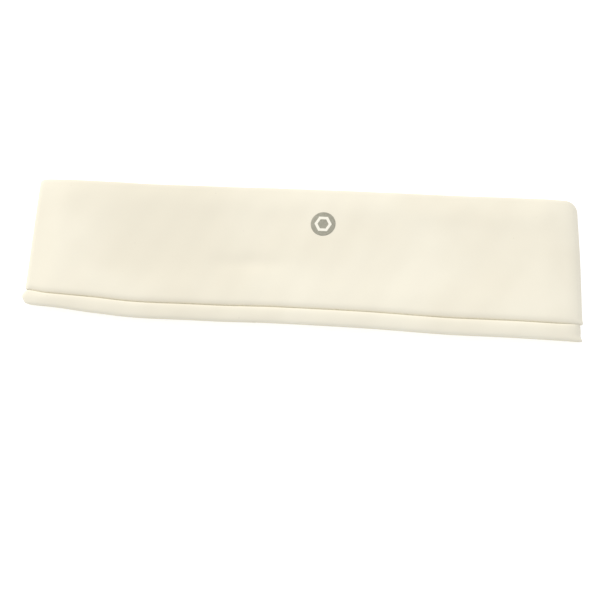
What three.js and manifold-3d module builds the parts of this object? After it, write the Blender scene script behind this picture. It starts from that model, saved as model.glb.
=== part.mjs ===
// Sports headband: a closed loop of stretch knit, lying flat with the loop folded flat.
// Millimetres. +X runs along the flattened loop, +Y up the band as it is worn and +Z up from the table.
// The origin is under the middle of the band, on the table.
//
// Every layer follows the same flattened loop: two straight runs joined by a round fold at each end.
// A layer is placed by how deep it lies below the outside of the band, and by its height up the band.

import * as THREE from 'three';
import { mergeVertices } from 'three/addons/utils/BufferGeometryUtils.js';
import Module from 'manifold-3d';

const wasm = await Module();
wasm.setup();

// ---- driving dimensions ----

const FLAT_LENGTH = 240; // fold to fold, half the loop's outer girth
const BAND_WIDTH = 61; // lower edge to top edge

const OUTER_PLY = 0.7; // smooth double knit of the outer panel
const LINING_PLY = 0.6; // brushed knit of the lining
const EDGE_PLY = 0.6; // knit of the folded edge band
const LOOP_GAP = 1.0; // air between the front and the back half of the flattened loop

const EDGE_BAND_HEIGHT = 7.2; // lower edge up to the seam

const ELASTIC_THICKNESS = 0.6;
const TOP_ELASTIC_WIDTH = 6;

const THREAD_THICKNESS = 0.4; // a row of stitches, taken as one flat strand
const TOP_SEAM_WIDTH = 1.2;
const LOWER_SEAM_WIDTH = 2.4;

const DISC_DIAMETER = 10.8;
const DISC_THICKNESS = 0.2;
const DISC_BELOW_TOP = 16.5; // top edge to the disc's centre
const DISC_FROM_MIDDLE = 12.5; // disc's centre to the right of the middle of the length

const LABEL_LENGTH = 24;
const LABEL_HEIGHT = 14;
const LABEL_THICKNESS = 0.3; // folded double

const LINING_SEAM_FROM_MIDDLE = 14; // lining seam set aside from the outer seam
const EDGE_JOIN_FROM_MIDDLE = -14;
const TACK_FROM_MIDDLE = 30;

const CLEARANCE = 0.3; // between pieces that touch

const FOLD_STEPS = 8; // straight steps round half of each fold
const DISC_STEPS = 40;

// ---- sizes that follow ----

const CORE_DEPTH = ELASTIC_THICKNESS + 2 * CLEARANCE; // between outer panel and lining
const WALL = OUTER_PLY + CORE_DEPTH + LINING_PLY;
const STACK_HEIGHT = 2 * WALL + LOOP_GAP;
const SEAM_SLIT = THREAD_THICKNESS + 2 * CLEARANCE; // between two sewn ends, with the thread in it

const LOWER_EDGE = -BAND_WIDTH / 2;
const TOP_EDGE = BAND_WIDTH / 2;
const SEAM_LINE = LOWER_EDGE + EDGE_BAND_HEIGHT;
const HALF_CLEARANCE = CLEARANCE / 2;

const CORE_OUTSIDE = OUTER_PLY + CLEARANCE;
const CORE_INSIDE = WALL - LINING_PLY - CLEARANCE;

// ---- solids ----

// A closed three.js geometry as a solid that can be joined and cut.
function toSolid(geometry) {
  const bare = geometry.index ? geometry.toNonIndexed() : geometry.clone();
  bare.deleteAttribute('normal');
  bare.deleteAttribute('uv');
  const merged = mergeVertices(bare, 1e-5);
  const mesh = new wasm.Mesh({
    numProp: 3,
    vertProperties: new Float32Array(merged.attributes.position.array),
    triVerts: new Uint32Array(merged.index.array),
  });
  return new wasm.Manifold(mesh);
}

// A solid as a three.js geometry.
function toGeometry(solid) {
  const mesh = solid.getMesh();
  const geometry = new THREE.BufferGeometry();
  geometry.setAttribute('position', new THREE.BufferAttribute(mesh.vertProperties, 3));
  geometry.setIndex(new THREE.BufferAttribute(mesh.triVerts, 1));
  geometry.computeVertexNormals();
  return geometry;
}

// The outline of the flattened loop, as it is seen from the band's edge, at a depth below the outside.
function loopOutline(path, depth) {
  const radius = STACK_HEIGHT / 2 - depth;
  const foldCentre = FLAT_LENGTH / 2 - STACK_HEIGHT / 2;
  path.moveTo(-foldCentre, -radius);
  path.lineTo(foldCentre, -radius);
  path.absarc(foldCentre, 0, radius, -Math.PI / 2, Math.PI / 2, false);
  path.lineTo(-foldCentre, radius);
  path.absarc(-foldCentre, 0, radius, Math.PI / 2, (3 * Math.PI) / 2, false);
  return path;
}

// A layer all round the loop, between two depths and between two heights up the band.
function layer(outside, inside, low, high) {
  const shape = loopOutline(new THREE.Shape(), outside);
  shape.holes.push(loopOutline(new THREE.Path(), inside));
  const geometry = new THREE.ExtrudeGeometry(shape, {
    depth: high - low,
    bevelEnabled: false,
    curveSegments: FOLD_STEPS,
  });
  geometry.rotateX(Math.PI / 2);
  geometry.translate(0, high, STACK_HEIGHT / 2);
  return toSolid(geometry);
}

// A block between two opposite corners.
function block(low, high) {
  const geometry = new THREE.BoxGeometry(high.x - low.x, high.y - low.y, high.z - low.z);
  geometry.translate((low.x + high.x) / 2, (low.y + high.y) / 2, (low.z + high.z) / 2);
  return toSolid(geometry);
}

// A slice across the back half of the loop, as wide as given along the band.
function backSlice(middle, width) {
  const low = new THREE.Vector3(middle - width / 2, LOWER_EDGE - 1, -1);
  const high = new THREE.Vector3(middle + width / 2, TOP_EDGE + 1, STACK_HEIGHT / 2);
  return block(low, high);
}

// A closed ring of cloth or elastic, opened at its seam on the back half.
function openAtSeam(ring, seam) {
  return ring.subtract(backSlice(seam, SEAM_SLIT));
}

// The stitches that close the ring again: what the ring holds inside the slit, less the clearances.
function closingThread(ring, seam) {
  return ring.intersect(backSlice(seam, THREAD_THICKNESS));
}

// ---- the rings before they are opened ----

// Outer panel: its top edge turns in over the elastic and meets the lining.
function outerPanelRing() {
  const face = layer(0, OUTER_PLY, SEAM_LINE + HALF_CLEARANCE, TOP_EDGE);
  const turnedTop = layer(0, WALL, TOP_EDGE - OUTER_PLY, TOP_EDGE);
  return face.add(turnedTop);
}

// Lining: from the seam line up to the turned top of the outer panel.
function liningRing() {
  return layer(WALL - LINING_PLY, WALL, SEAM_LINE + HALF_CLEARANCE, TOP_EDGE - OUTER_PLY - CLEARANCE);
}

// Edge band: a strip folded round the lower edge, as high on the inside as on the outside.
function edgeBandRing() {
  const high = SEAM_LINE - HALF_CLEARANCE;
  const front = layer(0, EDGE_PLY, LOWER_EDGE, high);
  const fold = layer(0, WALL, LOWER_EDGE, LOWER_EDGE + EDGE_PLY);
  const back = layer(WALL - EDGE_PLY, WALL, LOWER_EDGE, high);
  return front.add(fold).add(back);
}

// A flat elastic, from its outer face inwards.
function elasticRing(outside, low, width) {
  return layer(outside, outside + ELASTIC_THICKNESS, low, low + width);
}

const topSeamHigh = TOP_EDGE - OUTER_PLY - CLEARANCE;
const topSeamLow = topSeamHigh - TOP_SEAM_WIDTH;
const topElasticLow = topSeamLow - CLEARANCE - TOP_ELASTIC_WIDTH;
const lowerSeamLow = SEAM_LINE - LOWER_SEAM_WIDTH / 2;
const lowerElasticLow = LOWER_EDGE + EDGE_PLY + CLEARANCE;
const lowerElasticWidth = lowerSeamLow - CLEARANCE - lowerElasticLow; // fills the fold up to the seam

const outerRing = outerPanelRing();
const lining = liningRing();
const edgeBand = edgeBandRing();
const topElastic = elasticRing(CORE_OUTSIDE, topElasticLow, TOP_ELASTIC_WIDTH);
const lowerElastic = elasticRing((WALL - ELASTIC_THICKNESS) / 2, lowerElasticLow, lowerElasticWidth);

// ---- pieces that lie on a face ----

function reflectiveDisc() {
  const radius = DISC_DIAMETER / 2;
  const geometry = new THREE.CylinderGeometry(radius, radius, DISC_THICKNESS, DISC_STEPS);
  geometry.rotateX(Math.PI / 2);
  const height = STACK_HEIGHT + CLEARANCE + DISC_THICKNESS / 2;
  geometry.translate(DISC_FROM_MIDDLE, TOP_EDGE - DISC_BELOW_TOP, height);
  return toSolid(geometry);
}

// The label lies in the air gap on the lining of the back half, with one end over the lining's seam.
function careLabel() {
  const start = LINING_SEAM_FROM_MIDDLE;
  const height = WALL + (LOOP_GAP - LABEL_THICKNESS) / 2;
  return block(
    new THREE.Vector3(start, -LABEL_HEIGHT / 2, height),
    new THREE.Vector3(start + LABEL_LENGTH, LABEL_HEIGHT / 2, height + LABEL_THICKNESS),
  );
}

// ---- the assembly ----

const headband = new THREE.Group();
headband.name = 'sports_headband';

function addPiece(name, solid, colour, roughness, metalness = 0) {
  const material = new THREE.MeshStandardMaterial({ color: colour, roughness, metalness });
  const mesh = new THREE.Mesh(toGeometry(solid), material);
  mesh.name = name;
  headband.add(mesh);
}

const IVORY_KNIT = 0xf3edda;
const IVORY_BRUSHED = 0xf5f0e2;
const ELASTIC_WHITE = 0xf0efe9;
const IVORY_THREAD = 0xe6dfca;
const SILVER_GREY = 0xa5a596;
const LABEL_WHITE = 0xf4f4f0;

addPiece('outer_panel', openAtSeam(outerRing, 0), IVORY_KNIT, 0.85);
addPiece('outer_back_seam_thread', closingThread(outerRing, 0), IVORY_THREAD, 0.7);

addPiece('grip_lining', openAtSeam(lining, LINING_SEAM_FROM_MIDDLE), IVORY_BRUSHED, 0.95);
addPiece('lining_back_seam_thread', closingThread(lining, LINING_SEAM_FROM_MIDDLE), IVORY_THREAD, 0.7);

addPiece('lower_edge_band', openAtSeam(edgeBand, EDGE_JOIN_FROM_MIDDLE), IVORY_KNIT, 0.85);
addPiece('edge_band_join_thread', closingThread(edgeBand, EDGE_JOIN_FROM_MIDDLE), IVORY_THREAD, 0.7);

addPiece('top_edge_elastic', openAtSeam(topElastic, TACK_FROM_MIDDLE), ELASTIC_WHITE, 0.8);
addPiece('top_elastic_tack', closingThread(topElastic, TACK_FROM_MIDDLE), IVORY_THREAD, 0.7);

addPiece('lower_edge_elastic', openAtSeam(lowerElastic, -TACK_FROM_MIDDLE), ELASTIC_WHITE, 0.8);
addPiece('lower_elastic_tack', closingThread(lowerElastic, -TACK_FROM_MIDDLE), IVORY_THREAD, 0.7);

const topSeam = layer(CORE_OUTSIDE, CORE_INSIDE, topSeamLow, topSeamHigh);
const lowerSeam = layer(CORE_OUTSIDE, CORE_INSIDE, lowerSeamLow, lowerSeamLow + LOWER_SEAM_WIDTH);
addPiece('top_seam_thread', topSeam, IVORY_THREAD, 0.7);
addPiece('lower_seam_thread', lowerSeam, IVORY_THREAD, 0.7);

addPiece('reflective_disc', reflectiveDisc(), SILVER_GREY, 0.45, 0.3);
addPiece('care_label', careLabel(), LABEL_WHITE, 0.4);

export default headband;
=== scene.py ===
import math

import bpy
import numpy as np
from mathutils import Matrix, Vector


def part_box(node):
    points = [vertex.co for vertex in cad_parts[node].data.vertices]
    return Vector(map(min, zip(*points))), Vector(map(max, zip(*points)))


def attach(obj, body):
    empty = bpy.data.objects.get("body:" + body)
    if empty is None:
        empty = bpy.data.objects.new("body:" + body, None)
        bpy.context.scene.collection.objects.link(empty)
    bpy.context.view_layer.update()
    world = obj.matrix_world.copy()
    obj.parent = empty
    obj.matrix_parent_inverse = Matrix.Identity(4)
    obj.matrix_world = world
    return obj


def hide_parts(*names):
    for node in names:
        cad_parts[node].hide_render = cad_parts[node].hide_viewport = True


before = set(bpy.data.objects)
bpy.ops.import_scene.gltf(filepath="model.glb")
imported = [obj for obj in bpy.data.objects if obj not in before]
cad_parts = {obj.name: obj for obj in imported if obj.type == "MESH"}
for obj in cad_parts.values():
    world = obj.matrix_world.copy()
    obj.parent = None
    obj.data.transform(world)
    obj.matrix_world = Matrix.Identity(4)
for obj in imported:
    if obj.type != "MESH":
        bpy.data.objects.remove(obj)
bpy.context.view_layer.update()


# ---- Table, daylight and camera ----
# The band lies on a plain light table of milky white acrylic, in soft daylight that comes from beyond its
# top edge, a little from the left. The camera is held by hand close above it, nearer to the right-hand
# fold and the lower edge.

MM = 0.001


def linear(colour):
    """A colour given as sRGB hex, as linear red, green, blue and alpha."""
    parts = [int(colour[i:i + 2], 16) / 255 for i in (0, 2, 4)]
    return [p / 12.92 if p <= 0.04045 else ((p + 0.055) / 1.055) ** 2.4 for p in parts] + [1.0]


def add_node(tree, kind, settings=(), links=()):
    """A node in a tree with its settings and inputs. A key is a property, or an input's name or number."""
    node = tree.nodes.new(kind)
    for key, value in dict(settings).items():
        if isinstance(key, str) and hasattr(node, key):
            setattr(node, key, value)
        else:
            node.inputs[key].default_value = value
    for key, source in dict(links).items():
        tree.links.new(source, node.inputs[key])
    return node


def new_material(name):
    """An empty node material with its output, and its tree."""
    material = bpy.data.materials.new(name)
    material.use_nodes = True
    material.node_tree.nodes.clear()
    return material, material.node_tree


def finish_material(tree, shader):
    add_node(tree, "ShaderNodeOutputMaterial", links={"Surface": shader.outputs[0]})


TABLE_COLOUR = "f4f4f3"
TABLE_GLOW = 0.36                           # lit a little from below
TABLE_SIZE = 16.0                           # metres, so that no edge of it is seen
LENS = 36
SENSOR = 36
CAMERA_DISTANCE = 260 * MM
CAMERA_AZIMUTH = math.radians(27.6)
CAMERA_ELEVATION = math.radians(75.7)
CAMERA_ROLL = math.radians(5.2)
CAMERA_TARGET = Vector((4.8, -19.2, 0)) * MM
SKY_COLOUR = "fbfcff"
SKY_STRENGTH = 0.86
WINDOW_COLOUR = "fffaf2"
WINDOW_POWER = 74
WINDOW_SIZE = 2.2
WINDOW_PLACE = Vector((-1.8, 2.1, 1.9))


def make_table():
    """A plain pale table top, just under the band."""
    mesh = bpy.data.meshes.new("table_top")
    half = TABLE_SIZE / 2
    corners = [(-half, -half, 0), (half, -half, 0), (half, half, 0), (-half, half, 0)]
    mesh.from_pydata(corners, [], [(0, 1, 2, 3)])
    table = bpy.data.objects.new("table_top", mesh)
    bpy.context.collection.objects.link(table)
    material, tree = new_material("milky_white_acrylic")
    shader = add_node(tree, "ShaderNodeBsdfPrincipled",
                      {"Base Color": linear(TABLE_COLOUR), "Roughness": 0.9, "Specular IOR Level": 0.1,
                       "Emission Color": linear(TABLE_COLOUR), "Emission Strength": TABLE_GLOW})
    finish_material(tree, shader)
    mesh.materials.append(material)


def make_daylight():
    """An even pale sky and one large soft window."""
    scene = bpy.context.scene
    scene.world = bpy.data.worlds.new("pale_sky")
    scene.world.use_nodes = True
    sky = scene.world.node_tree.nodes["Background"]
    sky.inputs["Color"].default_value = linear(SKY_COLOUR)
    sky.inputs["Strength"].default_value = SKY_STRENGTH
    light = bpy.data.lights.new("window", "AREA")
    light.shape = "DISK"
    light.size = WINDOW_SIZE
    light.energy = WINDOW_POWER
    light.color = linear(WINDOW_COLOUR)[:3]
    window = bpy.data.objects.new("window", light)
    window.location = WINDOW_PLACE
    window.rotation_euler = (-WINDOW_PLACE).to_track_quat("-Z", "Y").to_euler()
    bpy.context.collection.objects.link(window)
    scene.view_settings.view_transform = "Standard"


def make_camera():
    """The camera looks down at the band from close above its front edge, and is rolled a little."""
    flat = math.cos(CAMERA_ELEVATION)
    back = Vector((math.sin(CAMERA_AZIMUTH) * flat, -math.cos(CAMERA_AZIMUTH) * flat,
                   math.sin(CAMERA_ELEVATION)))
    level_right = (-back).cross(Vector((0, 1, 0))).normalized()
    level_up = level_right.cross(-back)
    right = level_right * math.cos(CAMERA_ROLL) + level_up * math.sin(CAMERA_ROLL)
    up = level_up * math.cos(CAMERA_ROLL) - level_right * math.sin(CAMERA_ROLL)
    data = bpy.data.cameras.new("camera")
    data.lens = LENS
    data.sensor_width = SENSOR
    data.clip_start = 0.01
    camera = bpy.data.objects.new("camera", data)
    turn = Matrix((right, up, back)).transposed().to_4x4()
    camera.matrix_world = Matrix.Translation(CAMERA_TARGET + back * CAMERA_DISTANCE) @ turn
    bpy.context.collection.objects.link(camera)
    bpy.context.scene.camera = camera


make_table()
make_daylight()
make_camera()


# ---- Outer panel ----
# One strip of smooth ivory nylon and elastane double knit, cut with its stretch along the loop and closed
# at centre back. Its top edge is turned in over the elastic, and its lower edge along the seam.

panel_low, panel_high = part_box("outer_panel")
edge_low, edge_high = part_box("lower_edge_band")
LOOP_HEIGHT = panel_high.z - panel_low.z
FOLD = LOOP_HEIGHT / 2                      # radius of the round fold at each end
RUN = panel_high.x - FOLD                   # middle of the band to the start of a fold
GIRTH = 4 * RUN + 2 * math.pi * FOLD
TOP = panel_high.y
SEAM = (panel_low.y + edge_high.y) / 2
BOTTOM = edge_low.y
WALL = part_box("outer_back_seam_thread")[1].z    # outer face to inner face of one half of the band
KNIT_THICKNESS = 0.45 * MM
ROLL_REACH = 1.1 * MM                       # plies deeper than this don't roll into a closing seam
ROLL_WIDTH = 1.8 * MM                       # and cloth further than this from the seam doesn't
REST_SQUEEZE = 0.86                         # how flat the soft loop lies, of its full height
FOLD_SQUEEZE = 0.20                         # and how much flatter its creased folds lie
RIGHT_PRESS = 0.33                          # the right fold is pressed a little more
TOP_SQUEEZE = 0.08                          # and so is the top edge


def smooth(value, low, high):
    """0 below low, 1 above high, and an even ease in between."""
    t = np.clip((value - low) / (high - low), 0, 1)
    return t * t * (3 - 2 * t)


def hill(value, middle, reach):
    """A soft rise of height 1 round middle."""
    return np.exp(-((value - middle) / reach) ** 2)


def inside_fold(out, reach):
    """0 until reach inside the end of the loop, and 1 at its end."""
    return np.clip((out - (RUN + FOLD - reach)) / reach, 0, 1) ** 2


def loop_point(along, depth):
    """Where a point of the flattened loop lies, in x and z.

    along runs from centre back towards +X under the band, round the right fold, back over the front and
    round the left fold. depth is how far below the outside of the band the point is."""
    along = np.mod(along, GIRTH)
    arc = math.pi * FOLD
    turn = np.where(along < GIRTH / 2,
                    np.clip((along - RUN) / FOLD, 0, math.pi),
                    math.pi + np.clip((along - 3 * RUN - arc) / FOLD, 0, math.pi))
    straight = along - turn * FOLD
    on_front = (straight > RUN) & (straight < 3 * RUN)
    x_run = np.where(straight <= RUN, straight, np.where(on_front, 2 * RUN - straight, straight - 4 * RUN))
    radius = FOLD - depth
    x = x_run + radius * np.sin(turn)
    z = FOLD - radius * np.cos(turn)
    return x, z


# Where the band bends on the table: middle and reach along it, and how far up it moves there, in mm.
BENDS = (
    (-70, 36, -1.9),
    (35, 30, 0.5),
    (-86, 13, 0.5),
    (-28, 15, -0.45),
    (90, 16, 0.7),
)
LEFT_CURL = 0.1                             # each end turns up by this, in mm
RIGHT_CURL = 1.0
TOP_SHARE = 0.35                            # the top edge bends less than the lower edge
SEAM_DROP = 0.45                            # the seam hangs down by this between the folds, in mm
LEFT_SEAM_RISE = 0.75                       # and by this less at each fold
RIGHT_SEAM_RISE = 0.35


def bow(x, y):
    """The band was laid down by hand, so it lies in a slight curve on the table."""
    bend = sum(rise * hill(x, middle * MM, reach * MM) for middle, reach, rise in BENDS)
    curl = LEFT_CURL * smooth(-x, 90 * MM, 104 * MM) + RIGHT_CURL * smooth(x, 85 * MM, 118 * MM)
    share = TOP_SHARE + (1 - TOP_SHARE) * smooth(-y, -TOP, -SEAM)
    at_left = smooth(-x, 108 * MM, 118 * MM)
    at_right = smooth(x, 108 * MM, 118 * MM)
    drop = SEAM_DROP - LEFT_SEAM_RISE * at_left - RIGHT_SEAM_RISE * at_right
    return ((bend + curl) * share - drop * hill(y, SEAM, 3.6 * MM)) * MM


# How far each fold lies beyond its drawn place, in mm, and how that changes up the band.
FOLDS_OUT = 1.1
SHIFT_REACH = 35 * MM                       # the shift grows from this far inside a fold
LEFT_SLANT = 1.6                            # more at the top edge, and as much less at the lower
RIGHT_SLANT = 0.5                           # less at the top edge, and as much more at the lower
RIGHT_HOLLOW = 0.5                          # less again, just under the top edge
LEFT_BAND_IN = 0.4                          # the edge band's fold starts further in at the seam
LEFT_BAND_BULGE = 1.4                       # and bulges in the middle of its height
RIGHT_BAND_IN = 0.95                        # on the right it stays in nearly all the way down
RIGHT_SEAM_BUMP = 0.35                      # the seam's bulk stands out at the fold
RIGHT_TIP_OUT = 1.3                         # and so does the tip of the edge band


def fold_shift(x, y):
    """The folds aren't square to the edges: the left one slants, and the right one is a little hollow."""
    up = y / TOP
    at_left = smooth(-x, RUN - SHIFT_REACH, RUN + FOLD)
    at_right = smooth(x, RUN - SHIFT_REACH, RUN + FOLD)
    below_seam = smooth(SEAM - y, 0, 0.5 * MM)
    left = -FOLDS_OUT - LEFT_SLANT * up
    left = left + below_seam * (LEFT_BAND_IN - LEFT_BAND_BULGE * hill(y, SEAM - 4 * MM, 3 * MM))
    right = FOLDS_OUT - RIGHT_SLANT * up - RIGHT_HOLLOW * hill(up, 0.85, 0.5)
    right = right - RIGHT_BAND_IN * below_seam + RIGHT_SEAM_BUMP * hill(y, SEAM + 0.5 * MM, 1.1 * MM)
    right = right + RIGHT_TIP_OUT * smooth(-y, -(BOTTOM + 2.6 * MM), -BOTTOM)
    return (at_left * left + at_right * right) * MM


# Soft dents and swells of the front, where the cloth hasn't been smoothed out: middle along and up the
# band, reach along and up, and height, all in mm.
SWELLS = (
    (75, 21, 60, 5.5, 0.42),
    (-30, 22, 50, 6, 0.30),
    (-100, 20, 25, 7, 0.20),
    (0, -17, 140, 6, 0.22),
    (70, -2, 42, 10, -0.28),
    (-62, -1, 30, 12, -0.35),
    (-18, -5, 15, 3.6, -0.55),
    (-100, 0, 16, 20, 0.18),
    (20, 4, 22, 12, 0.15),
    (94, -8, 10, 16, 0.14),
    (112.5, 6, 1.6, 16, -0.10),
    (110, 20, 4, 2.0, -0.10),
)
PUCKER = 0.050                              # height of the small uneven waves in the cloth, in mm
RIPPLE = 0.035                              # and of the finer ones that slant across them


def swell(x, y):
    """How far the front half rises or sinks at a place, with no rise round the folds."""
    rise = sum(h * hill(x, cx * MM, rx * MM) * hill(y, cy * MM, ry * MM) for cx, cy, rx, ry, h in SWELLS)
    across, up = x / MM, y / MM
    rise = rise + PUCKER * np.sin(across / 4.1 + 1.7 * np.sin(up / 9.0)) * np.sin(up / 3.3 + across / 17.0)
    rise = rise + RIPPLE * np.sin(across / 2.3 - up / 4.7 + 2.0 * np.sin(across / 29.0))
    return rise * MM * smooth(RUN - np.abs(x), -1 * MM, 12 * MM)


LEFT_CORNER_DROP = 0.8 * MM                 # how much each fold's top corner is rounded off
RIGHT_CORNER_DROP = 2.6 * MM
LEFT_CORNER_LIFT = 0.45 * MM                # the same at the left fold's lower corner
LEFT_BAND_LIFT = 0.9 * MM                   # the edge band is narrower near the left fold
BACK_LIFT = 0.02 * MM                       # the back half lies this far off the table
BAND_BACK_LIFT = 0.18 * MM                  # and the back of the edge band this much further


def settle(x, y, z):
    """A point of the loop as drawn, moved to where the soft band really lies. It moves every layer alike."""
    out = np.abs(x)
    squeeze = REST_SQUEEZE - FOLD_SQUEEZE * smooth(out, RUN - 13 * MM, RUN + FOLD)
    squeeze = squeeze - RIGHT_PRESS * inside_fold(x, 7 * MM)
    squeeze = squeeze - TOP_SQUEEZE * hill(y, TOP + 1 * MM, 4.5 * MM)
    front = smooth(z, 0.3 * LOOP_HEIGHT, 0.7 * LOOP_HEIGHT)
    corner = inside_fold(out, 5.5 * MM)
    drop = np.where(x > 0, RIGHT_CORNER_DROP, LEFT_CORNER_DROP) * corner * smooth(y, TOP - 14 * MM, TOP)
    lift = LEFT_CORNER_LIFT * corner * smooth(-y, -(BOTTOM + 7 * MM), -BOTTOM) * (x < 0)
    lift = lift + LEFT_BAND_LIFT * smooth(-x, 84 * MM, 108 * MM) * smooth(-y, -SEAM, -BOTTOM)
    off_table = BACK_LIFT + BAND_BACK_LIFT * smooth(SEAM - y, 0, 2.2 * MM)
    new_x = x + fold_shift(x, y)
    new_y = y + bow(x, y) - drop + lift
    new_z = z * squeeze + front * swell(x, y) + (1 - front) * off_table
    return np.stack([new_x, new_y, new_z], -1)


SEAM_PULL = 0.98 * MM
DITCH_ABOVE = 2.6 * MM                      # how far up and down the band the pull is felt
DITCH_BELOW = 0.9 * MM
FOLD_EASE = 0.85                            # share of the pull that is gone round a fold
DEPTH_EASE = 0.75                           # and at the inner face


def seam_ditch(height):
    """How far the lower seam's stitches pull the cloth in: a soft roll above the seam, a sharp lip below."""
    above = np.clip(1 - (height - SEAM) / DITCH_ABOVE, 0, 1) * (height >= SEAM)
    below = np.clip(1 - (SEAM - height) / DITCH_BELOW, 0, 1) * (height < SEAM)
    return SEAM_PULL * (above + below) ** 2


def on_band(along, depth, height):
    """Points of the settled band, from places along the loop, below its outside and up the band."""
    x, z = loop_point(along, depth)
    height = height + 0 * x
    open_run = 1 - FOLD_EASE * smooth(np.abs(x), RUN - 0.5 * MM, RUN + 2 * MM)
    deeper = depth + seam_ditch(height) * open_run * (1 - DEPTH_EASE * depth / WALL)
    x, z = loop_point(along, deeper)
    return settle(x, height, z)


SPAN_STEPS = 40                             # fine steps between two given points of a line
BEND_SPREAD = 13                            # fine steps that a bend's crowding is spread over
CROWDING = 4                                # extra points near the crowded height, as a multiple


def even_line(points, step, closeness=0.4, crowded=None):
    """A smooth curve through a few points, with points about step apart. It has one more for each
    closeness, in radians, that it bends by, and more near the height crowded."""
    ends = np.vstack([2 * points[0] - points[1], points, 2 * points[-1] - points[-2]])
    knots = np.concatenate([[0], np.cumsum(np.sqrt(np.linalg.norm(np.diff(ends, axis=0), axis=1)))])
    fine = []
    t = np.linspace(0, 1, SPAN_STEPS, endpoint=False)[:, None]
    for k in range(1, len(ends) - 2):
        a, b, c, d = ends[k - 1:k + 3]
        ta, tb, tc, td = knots[k - 1:k + 3]
        leave = c - b + (tc - tb) * ((b - a) / (tb - ta) - (c - a) / (tc - ta))
        arrive = c - b + (tc - tb) * ((d - c) / (td - tc) - (d - b) / (td - tb))
        fine.append(b + leave * t + (3 * (c - b) - 2 * leave - arrive) * t ** 2
                    + (2 * (b - c) + leave + arrive) * t ** 3)
    fine = np.vstack(fine + [points[-1:]])
    piece = np.diff(fine, axis=0)
    length = np.linalg.norm(piece, axis=1)
    heading = np.unwrap(np.arctan2(piece[:, 1], piece[:, 0]))
    spread = np.ones(BEND_SPREAD) / BEND_SPREAD
    bend = np.convolve(np.pad(np.abs(np.gradient(heading)), BEND_SPREAD // 2), spread, "valid")
    wanted = length / step + bend / closeness
    if crowded is not None:
        height = (fine[1:, 1] + fine[:-1, 1]) / 2
        wanted = wanted + CROWDING * length / step * hill(height, crowded, 2.2 * MM)
    count = np.concatenate([[0], np.cumsum(wanted)])
    steps = max(4, int(round(count[-1])))
    at = np.interp(np.linspace(0, count[-1], steps + 1), count, np.arange(len(fine)))
    return np.stack([np.interp(at, np.arange(len(fine)), fine[:, k]) for k in (0, 1)], 1)


END_BULGE = 0.35                            # how far a cut end stands out, of the cloth's thickness


def cloth_outline(middle, thickness):
    """The closed outline of a strip of cloth as thick as given, round the line through its middle."""
    heading = np.gradient(middle, axis=0)
    heading /= np.linalg.norm(heading, axis=1)[:, None]
    side = np.stack([heading[:, 1], -heading[:, 0]], 1) * thickness / 2
    end = middle[-1] + heading[-1] * thickness * END_BULGE
    start = middle[0] - heading[0] * thickness * END_BULGE
    return np.vstack([middle + side, end[None], (middle - side)[::-1], start[None]])


FOLD_STEP = 0.55 * MM
FINE_PLACES = 6000                          # evenly spaced places that the stations are picked from


def stations(start, end, step=1.5 * MM):
    """Places along the loop from start to end, closer together round the folds."""
    places = np.linspace(start, end, FINE_PLACES)
    turned = np.mod(places, GIRTH)
    half = math.pi * FOLD / 2
    from_fold = np.minimum(np.abs(turned - (RUN + half)), np.abs(turned - (3 * RUN + 3 * half)))
    wanted = 1 / (FOLD_STEP + (step - FOLD_STEP) * smooth(from_fold, half, half + 6 * MM))
    count = np.concatenate([[0], np.cumsum((wanted[1:] + wanted[:-1]) / 2 * np.diff(places))])
    steps = int(round(count[-1]))
    return np.interp(np.linspace(0, count[-1], steps + 1), count, places)


def new_piece(name, points, faces):
    """A smooth-shaded mesh object with its points in place."""
    mesh = bpy.data.meshes.new(name)
    mesh.from_pydata([tuple(p) for p in points], [], faces)
    mesh.update()
    mesh.shade_smooth()
    piece = bpy.data.objects.new(name, mesh)
    bpy.context.collection.objects.link(piece)
    return piece


def strip_faces(rows, ring):
    """The faces of a strip made of rows that each follow a cloth outline of ring points, with both of
    its ends closed."""
    faces = []
    for row in range(rows - 1):
        here, there = row * ring, (row + 1) * ring
        for k in range(ring):
            m = (k + 1) % ring
            faces.append((here + k, there + k, there + m, here + m))
    half = (ring - 2) // 2
    for base, turned in ((0, True), ((rows - 1) * ring, False)):
        outer = [base + k for k in range(half)]
        inner = [base + 2 * half - k for k in range(half)]
        caps = [(outer[k], inner[k], inner[k + 1], outer[k + 1]) for k in range(half - 1)]
        caps += [(outer[-1], inner[-1], base + half), (outer[0], base + ring - 1, inner[0])]
        faces += [cap[::-1] if turned else cap for cap in caps]
    return faces


def sweep_cloth(name, outline, places, roll=0.0):
    """A strip of cloth with this outline in depth and height, laid along these places of the loop.

    At its two ends the cloth rolls into its seam by roll."""
    rows, ring = len(places), len(outline)
    along = np.repeat(places[:, None], ring, 1)
    depth = np.repeat(outline[None, :, 0], rows, 0)
    height = np.repeat(outline[None, :, 1], rows, 0)
    from_end = np.minimum(along - places[0], places[-1] - along)
    rolled = (1 - smooth(from_end, 0, ROLL_WIDTH)) ** 2
    depth = depth + roll * rolled * np.clip(1 - depth / ROLL_REACH, 0, 1)
    points = on_band(along.ravel(), depth.ravel(), height.ravel())
    piece = new_piece(name, points, strip_faces(rows, ring))
    lengths = np.linalg.norm(np.diff(outline, axis=0, append=outline[:1]), axis=1)
    across = np.concatenate([[0], np.cumsum(lengths)])
    layer = piece.data.uv_layers.new(name="cloth")
    count = len(piece.data.loops)
    vertex = np.empty(count, np.int32)
    piece.data.loops.foreach_get("vertex_index", vertex)
    row, col = vertex // ring, vertex % ring
    uv = np.stack([places[row], across[col]], 1)
    layer.uv.foreach_set("vector", uv.astype(np.float32).ravel())
    return piece


LINT_APART = 7 * MM
LINT_SIZE = 0.2 * MM
LINT_COLOUR = "a79f8e"
LINT_STRENGTH = 0.55
# Painted shade: the knit's colour is darkened over a broad stretch left of the middle of the band.
PAINTED_SHADE_MIDDLE = -58 * MM                          # middle of the broad stretch of painted shade on the front
PAINTED_SHADE_REACH = 52 * MM


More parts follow.
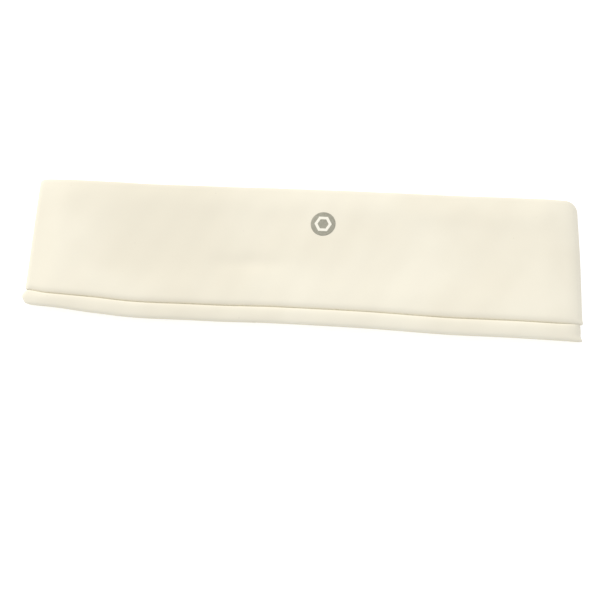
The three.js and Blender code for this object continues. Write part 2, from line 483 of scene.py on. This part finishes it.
def knit_material(name, colour, shade, painted_shade_colour, wale, course, depth, roughness, sheen):
    """Fine knit: columns of small V-shaped loops, wale apart across and course apart along, with an
    even matte face, slightly uneven in colour where the yarn took the dye differently. Painted shade
    darkens a broad stretch left of the middle, less so towards the lower edge. A few tiny specks of
    lint cling to it."""
    material, tree = new_material(name)
    place = add_node(tree, "ShaderNodeTexCoord")
    patches = add_node(tree, "ShaderNodeTexNoise", {"Scale": 28.0, "Detail": 3.0, "Roughness": 0.45},
                       {"Vector": place.outputs["Object"]})
    evened = add_node(tree, "ShaderNodeMapRange",
                      {"From Min": 0.3, "From Max": 0.7, "To Min": 0.0, "To Max": 1.0},
                      {"Value": patches.outputs["Fac"]})
    colours = add_node(tree, "ShaderNodeMix", {"data_type": "RGBA", 6: linear(shade), 7: linear(colour)},
                       {0: evened.outputs["Result"]})
    # Painted shade: the colour darkens over a broad stretch left of the middle, and less towards the lower
    # edge.
    spot = add_node(tree, "ShaderNodeSeparateXYZ", links={0: place.outputs["Object"]})
    aside = add_node(tree, "ShaderNodeMath", {"operation": "SUBTRACT", 1: PAINTED_SHADE_MIDDLE}, {0: spot.outputs["X"]})
    away = add_node(tree, "ShaderNodeMath", {"operation": "ABSOLUTE"}, {0: aside.outputs[0]})
    painted_shade_spot = add_node(tree, "ShaderNodeMapRange",
                       {"interpolation_type": "SMOOTHSTEP", "From Min": PAINTED_SHADE_REACH / 4,
                        "From Max": PAINTED_SHADE_REACH, "To Min": 1.0, "To Max": 0.0},
                       {"Value": away.outputs[0]})
    fading = add_node(tree, "ShaderNodeMapRange",
                      {"interpolation_type": "SMOOTHSTEP", "From Min": -20 * MM, "From Max": -6 * MM,
                       "To Min": 0.3, "To Max": 1.0}, {"Value": spot.outputs["Y"]})
    share = add_node(tree, "ShaderNodeMath", {"operation": "MULTIPLY"},
                     {0: painted_shade_spot.outputs["Result"], 1: fading.outputs["Result"]})
    painted_shade_mixed = add_node(tree, "ShaderNodeMix", {"data_type": "RGBA", 7: linear(painted_shade_colour)},
                      {0: share.outputs[0], 6: colours.outputs[2]})
    lint = add_node(tree, "ShaderNodeTexVoronoi", {"Scale": 1 / LINT_APART},
                    {"Vector": place.outputs["Object"]})
    speck = add_node(tree, "ShaderNodeMapRange",
                     {"From Min": 0.6 * LINT_SIZE / LINT_APART, "From Max": LINT_SIZE / LINT_APART,
                      "To Min": LINT_STRENGTH, "To Max": 0.0}, {"Value": lint.outputs["Distance"]})
    flecked = add_node(tree, "ShaderNodeMix", {"data_type": "RGBA", 7: linear(LINT_COLOUR)},
                       {0: speck.outputs["Result"], 6: painted_shade_mixed.outputs[2]})
    map_uv = add_node(tree, "ShaderNodeUVMap", {"uv_map": "cloth"})
    split = add_node(tree, "ShaderNodeSeparateXYZ", links={0: map_uv.outputs["UV"]})
    columns = add_node(tree, "ShaderNodeMath", {"operation": "MULTIPLY", 1: 1 / wale},
                       {0: split.outputs["X"]})
    centred = add_node(tree, "ShaderNodeMath", {"operation": "PINGPONG", 1: 0.5},
                       {0: columns.outputs[0]})
    rows = add_node(tree, "ShaderNodeMath", {"operation": "MULTIPLY", 1: 1 / course},
                    {0: split.outputs["Y"]})
    slanted = add_node(tree, "ShaderNodeMath", {"operation": "MULTIPLY_ADD", 1: 1.4},
                       {0: centred.outputs[0], 2: rows.outputs[0]})
    legs = add_node(tree, "ShaderNodeMath", {"operation": "PINGPONG", 1: 0.5}, {0: slanted.outputs[0]})
    column_round = add_node(tree, "ShaderNodeMath", {"operation": "MULTIPLY_ADD", 1: 1.3},
                            {0: centred.outputs[0], 2: legs.outputs[0]})
    yarn = add_node(tree, "ShaderNodeTexNoise", {"Scale": 2600.0, "Detail": 2.0},
                    {"Vector": place.outputs["Object"]})
    relief = add_node(tree, "ShaderNodeMath", {"operation": "MULTIPLY_ADD", 1: 0.35},
                      {0: yarn.outputs["Fac"], 2: column_round.outputs[0]})
    bump = add_node(tree, "ShaderNodeBump", {"Strength": 0.35, "Distance": depth},
                    {"Height": relief.outputs[0]})
    shader = add_node(tree, "ShaderNodeBsdfPrincipled",
                      {"Roughness": roughness, "Specular IOR Level": 0.25, "Sheen Weight": sheen,
                       "Sheen Roughness": 0.45},
                      {"Base Color": flecked.outputs[2], "Normal": bump.outputs["Normal"]})
    finish_material(tree, shader)
    return material


IVORY = "e8e3d2"
IVORY_SHADE = "e2dcca"
# the darker ivory of the painted shade
IVORY_PAINTED_SHADE = "dfd9c7"
smooth_knit = knit_material("ivory_nylon_double_knit", IVORY, IVORY_SHADE, IVORY_PAINTED_SHADE, wale=0.55 * MM,
                            course=0.42 * MM, depth=0.05 * MM, roughness=0.82, sheen=0.12)


def seat(piece, material, slot, *nodes):
    """Gives a finished piece its material and its place in the assembly."""
    piece.data.materials.clear()
    piece.data.materials.append(material)
    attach(piece, "root")
    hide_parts(*nodes)


ALLOWANCE = 5 * MM                          # cloth turned in behind a seam
BACK_GAP = 0.06 * MM
BEHIND = WALL - KNIT_THICKNESS / 2          # middle of the cloth on the head's side
FACE = KNIT_THICKNESS / 2                   # middle of the cloth, below the outside of the band
TURNED = FACE + KNIT_THICKNESS + 0.08 * MM  # middle of the turned-in cloth behind it


def cloth_line(*points):
    """The line through the middle of a strip of cloth, in depth and height, from a few points on it."""
    return even_line(np.array(points), 1.6 * MM, crowded=SEAM)


def cut_width(line):
    return float(np.linalg.norm(np.diff(line, axis=0), axis=1).sum())


panel_line = cloth_line(
    (TURNED, SEAM + ALLOWANCE),
    (TURNED, SEAM + 1.6 * MM),
    (TURNED - 0.02 * MM, SEAM + 0.70 * MM),
    (TURNED - 0.20 * MM, SEAM + 0.26 * MM),
    (FACE + 0.10 * MM, SEAM + 0.40 * MM),
    (FACE + 0.02 * MM, SEAM + 1.0 * MM),
    (FACE, SEAM + 3 * MM),
    (FACE, SEAM + 6 * MM),
    (FACE, TOP - 8 * MM),
    (FACE, TOP - 3 * MM),
    (FACE + 0.04 * MM, TOP - 1.3 * MM),
    (FACE + 0.28 * MM, TOP - 0.52 * MM),
    (WALL / 2 - 0.1 * MM, TOP - KNIT_THICKNESS / 2),
    (BEHIND - 0.28 * MM, TOP - 0.42 * MM),
    (BEHIND - 0.05 * MM, TOP - 0.78 * MM),
    (BEHIND - 0.26 * MM, TOP - 1.08 * MM),
    (BEHIND - 0.55 * MM, TOP - 1.45 * MM),
    (BEHIND - 0.62 * MM, TOP - 2.4 * MM),
    (BEHIND - 0.62 * MM, TOP - ALLOWANCE),
)
panel = sweep_cloth("outer_panel_cloth", cloth_outline(panel_line, KNIT_THICKNESS),
                    stations(BACK_GAP / 2, GIRTH - BACK_GAP / 2), roll=0.34 * MM)
seat(panel, smooth_knit, "smooth_knit", "outer_panel")


# ---- Reflective disc ----
# A small round of silver-grey reflective film with a plain white hexagon printed on it. It is cut from a
# sheet with hot-melt glue on its back and pressed on the front of the panel with a heated die.

disc_low, disc_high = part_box("reflective_disc")
DISC_RADIUS = (disc_high.x - disc_low.x) / 2
DISC_CENTRE = ((disc_low.x + disc_high.x) / 2, (disc_low.y + disc_high.y) / 2)
FILM_THICKNESS = 0.12 * MM
PRINT_RISE = 0.02 * MM
GLUE_THICKNESS = 0.01 * MM
MARK_INSIDE = 0.47                          # hexagon's inner and outer corners, of the disc's radius
MARK_OUTSIDE = 0.68
DISC_SPOKES = 96


def make_disc():
    """The film in rings, out over its face to its pressed rim and back under it. Each ring has its reach,
    how high it lies and how far it is a hexagon."""
    rings = [(0.15, 1, 0), (0.3, 1, 0.6), (MARK_INSIDE - 0.02, 1, 1), (MARK_INSIDE, 1, 1),
             (MARK_OUTSIDE, 1, 1), (MARK_OUTSIDE + 0.02, 1, 1), (0.84, 1, 0.3), (0.94, 1, 0),
             (0.985, 0.85, 0), (1.0, 0.5, 0), (1.0, 0.0, 0)]
    rings += [(reach, 0, 0) for reach in (0.8, 0.6, 0.4, 0.2)]
    raised = {3, 4}
    points = [DISC_CENTRE + (LOOP_HEIGHT + FILM_THICKNESS,)]
    angles = np.arange(DISC_SPOKES) * 2 * math.pi / DISC_SPOKES
    sixth = math.pi / 3
    hexagon = math.cos(sixth / 2) / np.cos(np.mod(angles, sixth) - sixth / 2)
    for step, (reach, rise, sided) in enumerate(rings):
        up = LOOP_HEIGHT + GLUE_THICKNESS + FILM_THICKNESS * rise + PRINT_RISE * (step in raised)
        out = DISC_RADIUS * reach * (1 + sided * (hexagon - 1))
        for angle, radius in zip(angles, out):
            points.append((DISC_CENTRE[0] + radius * math.cos(angle),
                           DISC_CENTRE[1] + radius * math.sin(angle), up))
    points.append(DISC_CENTRE + (LOOP_HEIGHT + GLUE_THICKNESS,))
    faces, printed = [], []
    for k in range(DISC_SPOKES):
        m = (k + 1) % DISC_SPOKES
        faces.append((0, 1 + k, 1 + m))
        printed.append(0)
        for step in range(len(rings) - 1):
            a, b = 1 + step * DISC_SPOKES, 1 + (step + 1) * DISC_SPOKES
            faces.append((a + k, b + k, b + m, a + m))
            printed.append(int(step in (2, 3, 4)))
        rim = 1 + (len(rings) - 1) * DISC_SPOKES
        faces.append((rim + k, len(points) - 1, rim + m))
        printed.append(0)
    place = np.array(points)
    piece = new_piece("reflective_disc_film", settle(place[:, 0], place[:, 1], place[:, 2]), faces)
    return piece, printed


def film_material():
    """Film with glass beads set in a grey metal coat: dull from most sides, with a fine grain of beads.
    The beads are far too fine to show, so the grain is drawn about five times as coarse."""
    material, tree = new_material("glass_bead_reflective_film")
    bead = 0.30 * MM
    place = add_node(tree, "ShaderNodeTexCoord")
    beads = add_node(tree, "ShaderNodeTexVoronoi", {"Scale": 1 / bead}, {"Vector": place.outputs["Object"]})
    tones = add_node(tree, "ShaderNodeMix",
                     {"data_type": "RGBA", 6: linear("8a8879"), 7: linear("a6a495")},
                     {0: beads.outputs["Color"]})
    bump = add_node(tree, "ShaderNodeBump", {"Strength": 0.3, "Distance": 0.02 * MM, "invert": True},
                    {"Height": beads.outputs["Distance"]})
    shader = add_node(tree, "ShaderNodeBsdfPrincipled",
                      {"Roughness": 0.5, "Metallic": 0.25, "Specular IOR Level": 0.5},
                      {"Base Color": tones.outputs[2], "Normal": bump.outputs["Normal"]})
    finish_material(tree, shader)
    return material


def print_material():
    """White screen-print ink on the film: a flat, slightly chalky coat."""
    material, tree = new_material("white_screen_print_ink")
    place = add_node(tree, "ShaderNodeTexCoord")
    grain = add_node(tree, "ShaderNodeTexNoise", {"Scale": 6000.0}, {"Vector": place.outputs["Object"]})
    bump = add_node(tree, "ShaderNodeBump", {"Strength": 0.2, "Distance": 0.01 * MM},
                    {"Height": grain.outputs["Fac"]})
    shader = add_node(tree, "ShaderNodeBsdfPrincipled",
                      {"Base Color": linear("eae7d9"), "Roughness": 0.6},
                      {"Normal": bump.outputs["Normal"]})
    finish_material(tree, shader)
    return material


disc, disc_print = make_disc()
seat(disc, film_material(), "reflective_film", "reflective_disc")
disc.data.materials.append(print_material())
disc.data.polygons.foreach_set("material_index", np.array(disc_print, np.int32))


# ---- Closing seam of the outer panel ----
# The strip's two ends are sewn together at centre back with a row of short stitches in ivory textured
# polyester, so the cloth rolls into a shallow groove that the threads cross.


def stitch_tree():
    """Geometry nodes that lay one stitch at each step of a path. Each is a short arched thread across
    the path, as wide as the bite, and leans forward by a share of the step."""
    tree = bpy.data.node_groups.new("row_of_stitches", "GeometryNodeTree")
    face = tree.interface
    face.new_socket("Geometry", in_out="INPUT", socket_type="NodeSocketGeometry")
    for name in ("Stitch Length", "Bite", "Thread Diameter", "Rise", "Lean"):
        face.new_socket(name, in_out="INPUT", socket_type="NodeSocketFloat")
    face.new_socket("Thread", in_out="INPUT", socket_type="NodeSocketMaterial")
    face.new_socket("Geometry", in_out="OUTPUT", socket_type="NodeSocketGeometry")
    given = add_node(tree, "NodeGroupInput").outputs

    lean = add_node(tree, "ShaderNodeMath", {"operation": "MULTIPLY"},
                    {0: given["Stitch Length"], 1: given["Lean"]})
    reach = add_node(tree, "ShaderNodeCombineXYZ", links={0: lean.outputs[0], 1: given["Bite"]})
    start = add_node(tree, "ShaderNodeVectorMath", {"operation": "SCALE", "Scale": -0.5},
                     {0: reach.outputs[0]})
    end = add_node(tree, "ShaderNodeVectorMath", {"operation": "SCALE", "Scale": 0.5},
                   {0: reach.outputs[0]})
    top = add_node(tree, "ShaderNodeCombineXYZ", links={2: given["Rise"]})
    thread = add_node(tree, "GeometryNodeCurveQuadraticBezier", {"Resolution": 6},
                      {"Start": start.outputs[0], "Middle": top.outputs[0], "End": end.outputs[0]})
    radius = add_node(tree, "ShaderNodeMath", {"operation": "MULTIPLY", 1: 0.5},
                      {0: given["Thread Diameter"]})
    section = add_node(tree, "GeometryNodeCurvePrimitiveCircle", {"Resolution": 6},
                       {"Radius": radius.outputs[0]})
    tube = add_node(tree, "GeometryNodeCurveToMesh", {"Fill Caps": True},
                    {"Curve": thread.outputs[0], "Profile Curve": section.outputs["Curve"]})
    stitch = add_node(tree, "GeometryNodeSetShadeSmooth", links={0: tube.outputs[0]})
    path = add_node(tree, "GeometryNodeMeshToCurve", links={"Mesh": given["Geometry"]})
    steps = add_node(tree, "GeometryNodeResampleCurve", {"mode": "LENGTH"},
                     {"Curve": path.outputs[0], "Length": given["Stitch Length"]})
    tangent = add_node(tree, "GeometryNodeInputTangent")
    outward = add_node(tree, "GeometryNodeInputNamedAttribute",
                       {"data_type": "FLOAT_VECTOR", "Name": "outward"})
    turn = add_node(tree, "FunctionNodeAxesToRotation", {"primary_axis": "X", "secondary_axis": "Z"},
                    {0: tangent.outputs[0], 1: outward.outputs["Attribute"]})
    row = add_node(tree, "GeometryNodeInstanceOnPoints",
                   links={"Points": steps.outputs[0], "Instance": stitch.outputs[0],
                          "Rotation": turn.outputs[0]})
    real = add_node(tree, "GeometryNodeRealizeInstances", links={0: row.outputs[0]})
    dyed = add_node(tree, "GeometryNodeSetMaterial", links={"Geometry": real.outputs[0],
                                                            "Material": given["Thread"]})
    add_node(tree, "NodeGroupOutput", links={0: dyed.outputs[0]})
    return tree


def thread_material():
    """Textured polyester thread: soft, a little fuzzy, with the twist of its yarn just showing."""
    material, tree = new_material("ivory_textured_polyester_thread")
    place = add_node(tree, "ShaderNodeTexCoord")
    twist = add_node(tree, "ShaderNodeTexWave",
                     {"Scale": 1300.0, "Distortion": 2.0, "bands_direction": "DIAGONAL"},
                     {"Vector": place.outputs["Object"]})
    tones = add_node(tree, "ShaderNodeMix", {"data_type": "RGBA", 6: linear("dfd7c3"), 7: linear("efe9d9")},
                     {0: twist.outputs["Fac"]})
    bump = add_node(tree, "ShaderNodeBump", {"Strength": 0.4, "Distance": 0.04 * MM},
                    {"Height": twist.outputs["Fac"]})
    shader = add_node(tree, "ShaderNodeBsdfPrincipled",
                      {"Roughness": 0.6, "Sheen Weight": 0.2, "Specular IOR Level": 0.35},
                      {"Base Color": tones.outputs[2], "Normal": bump.outputs["Normal"]})
    finish_material(tree, shader)
    return material


stitches = stitch_tree()
ivory_thread = thread_material()


def sew(name, along, depth, height, pitch, bite, thread, rise, lean, node, closed=False):
    """A row of stitches on a path of the band, given by its places, as the piece that stands for node."""
    here = on_band(along, depth, height)
    outward = on_band(along, depth - 0.1 * MM, height) - here
    outward /= np.linalg.norm(outward, axis=1)[:, None]
    count = len(here)
    edges = [(k, (k + 1) % count) for k in range(count if closed else count - 1)]
    mesh = bpy.data.meshes.new(name + "_path")
    mesh.from_pydata([tuple(p) for p in here], edges, [])
    mesh.attributes.new("outward", "FLOAT_VECTOR", "POINT").data.foreach_set(
        "vector", outward.astype(np.float32).ravel())
    path = bpy.data.objects.new(name + "_path", mesh)
    bpy.context.collection.objects.link(path)
    modifier = path.modifiers.new("stitches", "NODES")
    modifier.node_group = stitches
    sizes = {"Stitch Length": pitch, "Bite": bite, "Thread Diameter": thread, "Rise": rise, "Lean": lean,
             "Thread": ivory_thread}
    for item in stitches.interface.items_tree:
        if item.in_out == "INPUT" and item.name in sizes:
            modifier[item.identifier] = sizes[item.name]
    seen = path.evaluated_get(bpy.context.evaluated_depsgraph_get())
    row = bpy.data.objects.new(name, bpy.data.meshes.new_from_object(seen))
    bpy.context.collection.objects.link(row)
    bpy.data.objects.remove(path)
    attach(row, "root")
    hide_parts(node)
    return row


def up_the_band(start, end, count=60):
    return np.linspace(start, end, count)


THREAD = 0.22 * MM
rise_up = up_the_band(SEAM + 0.8 * MM, TOP - 0.8 * MM)
sew("outer_back_seam_stitches", 0 * rise_up, 0 * rise_up + 0.26 * MM, rise_up, pitch=1.1 * MM,
    bite=1.5 * MM, thread=THREAD, rise=-0.10 * MM, lean=0.5, node="outer_back_seam_thread")


# ---- Grip lining ----
# A second loop, of knit brushed to a short soft pile, lies against the head and grips it. It is closed
# beside centre back and sewn to the panel along the top edge and to the edge band at the seam.

LINING_THICKNESS = 0.45 * MM
LINING_FACE = WALL - LINING_THICKNESS / 2
lining_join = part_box("lining_back_seam_thread")
LINING_SEAM = (lining_join[0].x + lining_join[1].x) / 2
# The lining's last colour is its painted shade, the same as its darker patches.
brushed_knit = knit_material("ivory_brushed_grip_knit", "efeadb", "e6dfcc", "e6dfcc", wale=0.8 * MM,
                             course=0.6 * MM, depth=0.09 * MM, roughness=0.95, sheen=0.45)
lining_line = cloth_line(
    (LINING_FACE - 0.14 * MM, SEAM + 0.42 * MM),
    (LINING_FACE - 0.05 * MM, SEAM + 0.80 * MM),
    (LINING_FACE, SEAM + 1.3 * MM),
    (LINING_FACE, SEAM + 8 * MM),
    (LINING_FACE, TOP - 8 * MM),
    (LINING_FACE, TOP - 2.6 * MM),
    (LINING_FACE - 0.01 * MM, TOP - 1.9 * MM),
    (LINING_FACE - 0.06 * MM, TOP - 1.55 * MM),
)
lining = sweep_cloth("grip_lining_cloth", cloth_outline(lining_line, LINING_THICKNESS),
                     stations(LINING_SEAM + BACK_GAP / 2, LINING_SEAM + GIRTH - BACK_GAP / 2))
seat(lining, brushed_knit, "brushed_knit", "grip_lining")
lining_up = up_the_band(SEAM + 1.2 * MM, TOP - 2.2 * MM)
sew("lining_back_seam_stitches", 0 * lining_up + LINING_SEAM, 0 * lining_up + WALL - 0.03 * MM, lining_up,
    pitch=1.1 * MM, bite=1.5 * MM, thread=THREAD, rise=-0.05 * MM, lean=0.5, node="lining_back_seam_thread")


# ---- Care label ----
# A blank white satin label, folded double with its raw ends caught in the lining's closing seam, so its
# folded end lies free on the lining inside the loop.

label_low, label_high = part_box("care_label")
LABEL_PLY = 0.11 * MM
LABEL_WAVE = 0.015 * MM                     # the ribbon isn't quite flat
LABEL_ROWS = 20


def make_label():
    """The folded strip, seen from its edge: out along the lining, round the fold and back."""
    middle = (label_low.z + label_high.z) / 2
    apart = LABEL_PLY / 2 + 0.02 * MM
    line = even_line(np.array([
        (label_low.x, middle - apart),
        (label_low.x + 8 * MM, middle - apart),
        (label_high.x - 1.0 * MM, middle - apart),
        (label_high.x - 0.15 * MM, middle),
        (label_high.x - 1.0 * MM, middle + apart),
        (label_low.x + 8 * MM, middle + apart),
        (label_low.x, middle + apart),
    ]), 1.5 * MM, closeness=0.8)
    outline = cloth_outline(line, LABEL_PLY)
    points = []
    for height in np.linspace(label_low.y, label_high.y, LABEL_ROWS):
        lift = LABEL_WAVE * np.sin(outline[:, 0] / (3 * MM) + height / (4 * MM))
        points.append(settle(outline[:, 0], height + 0 * outline[:, 0], outline[:, 1] + lift))
    piece = new_piece("care_label_satin", np.vstack(points), strip_faces(LABEL_ROWS, len(outline)))
    return piece, cut_width(line)


def satin_material():
    """Woven satin ribbon: long floats of bright thread, so it is smooth with a soft streaky gloss."""
    material, tree = new_material("white_woven_satin")
    place = add_node(tree, "ShaderNodeTexCoord")
    stretch = add_node(tree, "ShaderNodeMapping", {"Scale": (400.0, 6000.0, 400.0)},
                       {"Vector": place.outputs["Object"]})
    floats = add_node(tree, "ShaderNodeTexNoise", {"Scale": 1.0, "Detail": 2.0},
                      {"Vector": stretch.outputs[0]})
    tones = add_node(tree, "ShaderNodeMix",
                     {"data_type": "RGBA", 6: linear("eceae4"), 7: linear("f6f5f0")},
                     {0: floats.outputs["Fac"]})
    bump = add_node(tree, "ShaderNodeBump", {"Strength": 0.25, "Distance": 0.03 * MM},
                    {"Height": floats.outputs["Fac"]})
    shader = add_node(tree, "ShaderNodeBsdfPrincipled",
                      {"Roughness": 0.35, "Anisotropic": 0.4, "Specular IOR Level": 0.5},
                      {"Base Color": tones.outputs[2], "Normal": bump.outputs["Normal"]})
    finish_material(tree, shader)
    return material


label, label_length = make_label()
seat(label, satin_material(), "satin_label", "care_label")


# ---- Elastics ----
# Flat knitted elastic, with rubber cords inside ribs of white polyester, lies in the top edge and in the
# fold of the lower edge. Each is cut to the loop's girth, butted and closed with a dense bar tack.

ELASTIC_THICKNESS = 0.5 * MM
RIB_PITCH = 1.0 * MM
RIB_HEIGHT = 0.06 * MM
RIB_STEPS = 8
SELVEDGE = 0.12 * MM                        # rounded edge of the elastic


def elastic_outline(depth, low, high):
    """A flat ribbed strip in depth and height, with its cords standing proud on both faces."""
    heights = np.linspace(low, high, RIB_STEPS * int(round((high - low) / RIB_PITCH)) + 1)
    ribs = RIB_HEIGHT * (0.5 - 0.5 * np.cos(2 * math.pi * (heights - low) / RIB_PITCH)) - RIB_HEIGHT
    middle = np.stack([0 * heights + depth, heights], 1)
    side = np.stack([ELASTIC_THICKNESS / 2 + ribs, 0 * heights], 1)
    end = middle[-1] + (0, SELVEDGE)
    start = middle[0] - (0, SELVEDGE)
    return np.vstack([middle + side, end[None], (middle - side)[::-1], start[None]])


def elastic_material():
    """Knitted elastic: rows of white stitches over the rubber cords, with a fine cross rib."""
    material, tree = new_material("white_knitted_elastic")
    course = 0.6 * MM
    map_uv = add_node(tree, "ShaderNodeUVMap", {"uv_map": "cloth"})
    split = add_node(tree, "ShaderNodeSeparateXYZ", links={0: map_uv.outputs["UV"]})
    rows = add_node(tree, "ShaderNodeMath", {"operation": "MULTIPLY", 1: 1 / course},
                    {0: split.outputs["X"]})
    rib = add_node(tree, "ShaderNodeMath", {"operation": "PINGPONG", 1: 0.5}, {0: rows.outputs[0]})
    tones = add_node(tree, "ShaderNodeMix",
                     {"data_type": "RGBA", 6: linear("dedcd4"), 7: linear("f3f2ec")},
                     {0: rib.outputs[0]})
    bump = add_node(tree, "ShaderNodeBump", {"Strength": 0.5, "Distance": 0.1 * MM},
                    {"Height": rib.outputs[0]})
    shader = add_node(tree, "ShaderNodeBsdfPrincipled",
                      {"Roughness": 0.75, "Sheen Weight": 0.1},
                      {"Base Color": tones.outputs[2], "Normal": bump.outputs["Normal"]})
    finish_material(tree, shader)
    return material


white_elastic = elastic_material()


def make_elastic(name, node, tack_name, tack_node, low, high, depth):
    """An elastic, between two heights up the band, and the bar tack that closes it."""
    tack_low, tack_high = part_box(tack_node)
    join = (tack_low.x + tack_high.x) / 2
    strip = sweep_cloth(name, elastic_outline(depth, low, high),
                        stations(join + BACK_GAP / 2, join + GIRTH - BACK_GAP / 2, step=2.0 * MM))
    seat(strip, white_elastic, "knitted_elastic", node)
    tack_up = up_the_band(low + 0.4 * MM, high - 0.4 * MM, 30)
    tack_depth = depth - ELASTIC_THICKNESS / 2 - 0.06 * MM
    sew(tack_name, 0 * tack_up + join, 0 * tack_up + tack_depth, tack_up, pitch=0.36 * MM,
        bite=2.6 * MM, thread=0.18 * MM, rise=0.02 * MM, lean=0.9, node=tack_node)


top_elastic_low, top_elastic_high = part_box("top_edge_elastic")
low_elastic_low, low_elastic_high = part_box("lower_edge_elastic")
make_elastic("top_elastic_strip", "top_edge_elastic", "top_elastic_bar_tack", "top_elastic_tack",
             top_elastic_low.y, top_elastic_high.y, 1.0 * MM)
make_elastic("lower_elastic_strip", "lower_edge_elastic", "lower_elastic_bar_tack", "lower_elastic_tack",
             low_elastic_low.y + 0.1 * MM, low_elastic_high.y - 0.1 * MM, WALL / 2)


# ---- Lower edge band ----
# A narrow strip of the same knit is folded round the lower edge over its elastic, so it stands plump
# like piping. Its front edge is sewn to the panel, and rolls into the seam with it.

edge_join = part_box("edge_band_join_thread")
EDGE_SEAM = (edge_join[0].x + edge_join[1].x) / 2
band_line = cloth_line(
    (TURNED + KNIT_THICKNESS + 0.12 * MM, SEAM + ALLOWANCE - 1 * MM),
    (TURNED + KNIT_THICKNESS + 0.12 * MM, SEAM + 1.2 * MM),
    (TURNED + KNIT_THICKNESS - 0.04 * MM, SEAM + 0.25 * MM),
    (TURNED + 0.04 * MM, SEAM - 0.40 * MM),
    (FACE + 0.10 * MM, SEAM - 0.74 * MM),
    (FACE - 0.12 * MM, SEAM - 1.6 * MM),
    (FACE - 0.20 * MM, SEAM - 2.7 * MM),
    (FACE - 0.10 * MM, SEAM - 4.2 * MM),
    (FACE + 0.14 * MM, SEAM - 5.4 * MM),
    (FACE + 0.50 * MM, BOTTOM + 0.62 * MM),
    (WALL / 2, BOTTOM + 0.24 * MM),
    (BEHIND - 0.32 * MM, BOTTOM + 0.62 * MM),
    (BEHIND, BOTTOM + 1.8 * MM),
    (BEHIND, SEAM - 1.4 * MM),
    (BEHIND - 0.06 * MM, SEAM - 0.55 * MM),
    (BEHIND - 0.16 * MM, SEAM - 0.24 * MM),
)
band = sweep_cloth("lower_edge_band_cloth", cloth_outline(band_line, KNIT_THICKNESS),
                   stations(EDGE_SEAM + BACK_GAP / 2, EDGE_SEAM + GIRTH - BACK_GAP / 2))
seat(band, smooth_knit, "smooth_knit", "lower_edge_band")

join_line = band_line[band_line[:, 1] < SEAM - 0.9 * MM]
sew("edge_band_join_stitches", 0 * join_line[:, 0] + EDGE_SEAM, join_line[:, 0], join_line[:, 1],
    pitch=1.2 * MM, bite=1.1 * MM, thread=THREAD, rise=0.0, lean=0.2, node="edge_band_join_thread")


# ---- Edge seams ----
# One row of overlock stitches runs all round behind the lower seam and binds panel, band and lining, and
# one runs all round inside the top edge and catches the elastic's upper edge.

top_seam_low, top_seam_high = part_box("top_seam_thread")
TOP_SEAM = (top_seam_low.y + top_seam_high.y) / 2
all_round = stations(0, GIRTH, step=1.2 * MM)[:-1]
sew("lower_seam_stitches", all_round, 0 * all_round + WALL - 0.68 * MM,
    0 * all_round + SEAM + 1.7 * MM, pitch=1.6 * MM, bite=1.4 * MM, thread=THREAD, rise=0.0, lean=0.5,
    node="lower_seam_thread", closed=True)
sew("top_seam_stitches", all_round, 0 * all_round + 1.15 * MM, 0 * all_round + TOP_SEAM,
    pitch=1.6 * MM, bite=1.1 * MM, thread=THREAD, rise=0.0, lean=0.5, node="top_seam_thread",
    closed=True)
